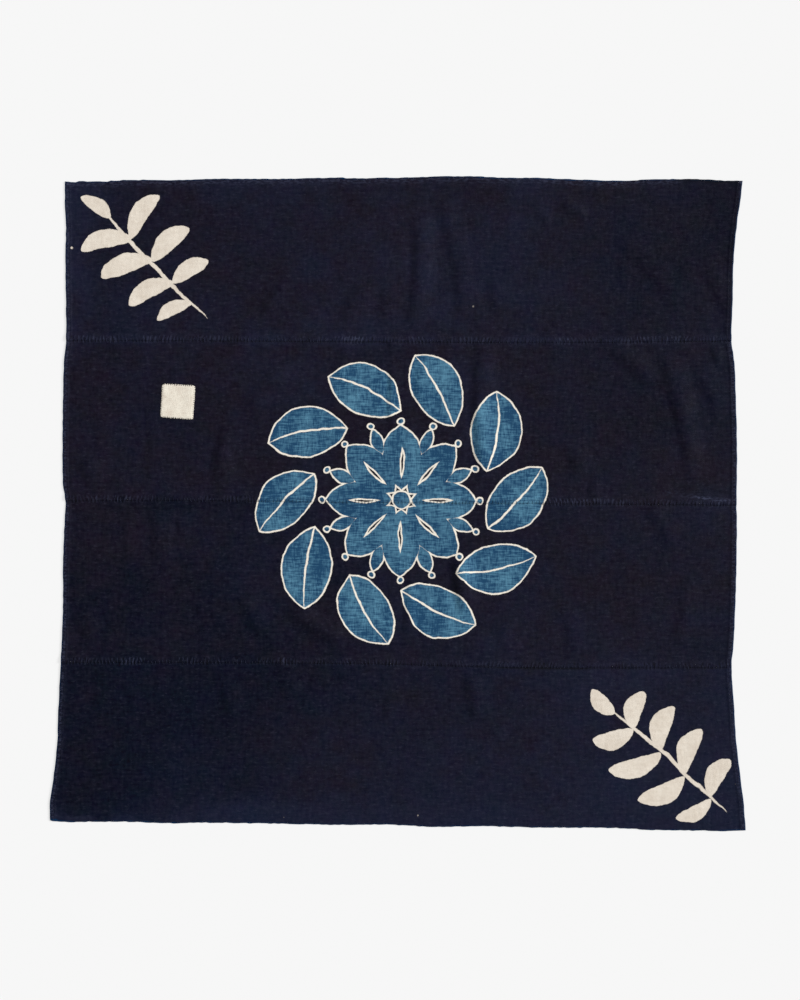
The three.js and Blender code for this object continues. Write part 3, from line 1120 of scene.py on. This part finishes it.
def figured(tree, x, y, colour, slub, blotch, figure, outlined):
    """The colour with a figure in it, and how much of a point is in the figure and in its lines."""
    distance = drawn(figure, x, y)
    ragged = noise(x, y, 7, 7, 2, 23.1) - 0.5
    if outlined:
        fine_weft = noise(x, y, 24, 3.0, 1, 61.3) - 0.5
        fine_warp = noise(x, y, 3.0, 16, 1, 63.7) - 0.5
        stripe = noise(x, y, 22, 160, 1, 27.7) - 0.5
        patchy = noise(x, y, 90, 90, 1, 29.3) - 0.5
        tone = fine_weft * 1.5 + fine_warp + slub * 0.45 + stripe * 0.7 + patchy * 1.2 + 0.3
        pattern = inside(distance)
        colour = mixed(tree, pattern, colour, mixed(tree, tone, BLUE_DEEP, BLUE_PALE))
        line = inside(abs(distance) - LINE_HALF + ragged * 1.6)
        cream = mixed(tree, blotch * 1.4 + slub * 0.7 + 0.2, OUTLINE_CREAM, CREAM)
    else:
        line = inside(distance + ragged * 2.2)
        pattern = line
        cream = mixed(tree, blotch * 1.4 + slub * 0.7 + 0.4, CREAM, CREAM_SHADE)
    return mixed(tree, line, colour, cream), pattern, line


def worn(tree, x, y, colour, fleck, pattern, line):
    """The colour with worn seams and edges, undyed specks, painted highlights and painted shade on its
    seam puckers, and painted shade below its seams.
    """
    count = stored(tree, "stitch") + noise(x, y, 9, 12, 1, 51.9) * 0.6
    dashes = noise(x, y, 3.4, 14, 1, 31.7) - 0.5
    pucker = (count * (2 * math.pi)).apply("COSINE") * 0.5 + dashes * 2.4
    gathered = noise(x, y, 34, 90, 1, 53.3).between(0.4, 0.62, 0.25, 1.0) * stored(tree, "near_seam")
    # Pale dashes on the seams are partly rubbed wear and partly a painted highlight on the ridges of the
    # puckers
    rubbed_and_lit = stored(tree, "seam_wear") * 0.55 + gathered * 0.15
    threadbare = noise(x, y, 9, 4.0, 1, 37.1).between(0.42, 0.65)
    wear_and_highlight = rubbed_and_lit * pucker.between(0.0, -0.8)
    wear_and_highlight = wear_and_highlight.most(stored(tree, "edge_wear") * (threadbare * 0.4 + 0.05))
    colour = mixed(tree, wear_and_highlight * (1 - line), colour, INDIGO_RUBBED)
    colour = mixed(tree, stored(tree, "rim"), colour, INDIGO_RIM)
    for at_x, at_y, radius, strength in SPECKS:
        speck = inside(hypot(x - at_x, y - at_y) - radius + fleck * 2)
        colour = mixed(tree, speck * strength, colour, CREAM_SHADE)
    # Painted shade: darker dashes between the seam puckers, and the painted shade stored below the seams
    # and along part of the top edge
    puckered = gathered * pucker.between(0.1, 0.9) * (0.6 - pattern * 0.35)
    shade = (stored(tree, "painted_shade") * 0.8).most(puckered)
    return shaded(tree, colour, 1 - shade)


def weave(tree, shader, x, y, slub, pitch=0.85):
    """Fine plain weave with thicker yarns here and there, as bump."""
    turn = 2 * math.pi / pitch
    drift = noise(x, y, 9, 9, 1, 41.3) * 1.5
    crossing = ((x + drift) * turn).apply("SINE") * ((y + drift) * turn).apply("SINE")
    height = crossing * 0.03 + slub * 0.2
    bump = tree.nodes.new("ShaderNodeBump")
    bump.inputs["Strength"].default_value = 1.0
    bump.inputs["Distance"].default_value = MM
    feed(tree, bump.inputs["Height"], height)
    tree.links.new(bump.outputs[0], shader.inputs["Normal"])


def patch_material():
    material, tree, shader = matt_material("patch_cotton", roughness=0.9, specular=0.15)
    x, y = point_of(tree)
    slub = (noise(x, y, 9, 1.6, 2, 2.9) - 0.5) + (noise(x, y, 1.6, 9, 2, 6.1) - 0.5)
    tone = slub * 0.8 + (noise(x, y, 22, 22, 2, 9.7) - 0.5) * 1.4 + 0.35
    colour = mixed(tree, tone, PATCH_CREAM, CREAM_SHADE)
    grime = stored(tree, "rim").between(0.0, 3.0, 0.35, 0.0)
    colour = mixed(tree, grime, colour, GRIME)
    tree.links.new(colour, shader.inputs["Base Color"])
    weave(tree, shader, x, y, slub, pitch=0.7)
    return material


def thread_material(name, colour, figure=None):
    """Sewing thread; where it crosses the blue of a figure it is blue too."""
    material, tree, shader = matt_material(name, roughness=0.85, specular=0.15)
    x, y = point_of(tree)
    if figure:
        colour = mixed(tree, inside(drawn(figure, x, y)), colour, BLUE_THREAD)
    tone = noise(x, y, 6, 6, 2, 4.3).between(0.3, 0.7, 0.6, 1.4)
    tone = tone * noise(x, y, 40, 40, 1, 8.9).between(0.4, 0.65, 0.7, 1.3)
    tree.links.new(shaded(tree, colour, tone), shader.inputs["Base Color"])
    return material


# Floor, light and camera, in metres

FLOOR_HALF = 30.0
FLOOR_DROP = 0.0002  # how far it lies below the cloth
FLOOR_PALE = 0.8
FLOOR_GLOW = 0.75  # share of the floor's brightness that is its own, so that shadows on it are faint
SKY_STRENGTH = 0.45
KEY_STRENGTH = 4.91
KEY_FROM = (0.86, 0.26, 0.46)  # the soft key light comes in low from the right
KEY_WIDTH = math.radians(22)
LENS, SENSOR = 100.0, 36.0
VIEW_HEIGHT = 2.037  # what the picture shows of the cloth from its top to its bottom
VIEW_CENTRE = (0.0046, 0.0076)
VIEW_LEVEL = 0.002  # the height at which it shows just that much
WHITE = (1, 1, 1, 1)


def pale_floor():
    material, _, shader = matt_material("floor", roughness=1.0, specular=0.0)
    shader.inputs["Base Color"].default_value = (*[FLOOR_PALE * (1 - FLOOR_GLOW)] * 3, 1)
    shader.inputs["Emission Color"].default_value = WHITE
    shader.inputs["Emission Strength"].default_value = FLOOR_PALE * LIGHT * FLOOR_GLOW
    mesh = bpy.data.meshes.new("floor")
    corners = ((-1, -1), (1, -1), (1, 1), (-1, 1))
    points = [(a * FLOOR_HALF, b * FLOOR_HALF, -FLOOR_DROP) for a, b in corners]
    mesh.from_pydata(points, [], [(0, 1, 2, 3)])
    mesh.materials.append(material)
    return placed("floor", mesh)


def light_scene():
    world = bpy.data.worlds.new("studio")
    world.use_nodes = True
    sky = world.node_tree.nodes["Background"]
    sky.inputs["Color"].default_value = WHITE
    sky.inputs["Strength"].default_value = SKY_STRENGTH
    bpy.context.scene.world = world

    key = bpy.data.lights.new("key", "SUN")
    key.energy = KEY_STRENGTH
    key.angle = KEY_WIDTH
    lamp = placed("key", key)
    lamp.rotation_mode = "QUATERNION"
    lamp.rotation_quaternion = (-Vector(KEY_FROM)).to_track_quat("-Z", "Y")


def look_down():
    """The camera, straight above the cloth."""
    camera = bpy.data.cameras.new("camera")
    camera.lens = LENS
    camera.sensor_width = SENSOR
    camera.clip_end = 200
    stand = placed("camera", camera)
    stand.location = (*VIEW_CENTRE, VIEW_HEIGHT * LENS / SENSOR + VIEW_LEVEL)
    bpy.context.scene.camera = stand
    bpy.context.scene.view_settings.view_transform = "Standard"


# The object

floor = pale_floor()

FIGURES = {
    "panel_1": ("indigo_upper_spray", lambda x, y: spray(x, y, UPPER_SPRAY), False),
    "panel_2": ("indigo_medallion", medallion, True),
    "panel_3": ("indigo_medallion", medallion, True),
    "panel_4": ("indigo_lower_spray", lambda x, y: spray(x, y, LOWER_SPRAY), False),
}
made_materials = {}
seam_thread = thread_material("seam_thread", THREAD_INDIGO, medallion)
for width in WIDTHS:
    cloth = width_sheet(width)
    name, figure, outlined = FIGURES[width.node]
    if name not in made_materials:
        made_materials[name] = cloth_material(name, figure, outlined)
    cloth.data.materials.append(made_materials[name])
    paths = hem_stitches(width)
    if width.below:
        paths = np.concatenate([paths, seam_stitches(width)])
    stitches = threads(width.node + "_stitches", paths, THREAD_RADIUS)
    stitches.data.materials.append(seam_thread)
    for piece in (cloth, stitches):
        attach(piece, "root")
    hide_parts(width.node)

patch = patch_sheet(WIDTHS[1])
patch.data.materials.append(patch_material())
whip = threads("patch_stitches", patch_stitches(WIDTHS[1]), WHIP_RADIUS)
whip.data.materials.append(thread_material("patch_thread", THREAD_DARK))
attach(patch, "root")
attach(whip, "root")
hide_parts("patch")

light_scene()
look_down()
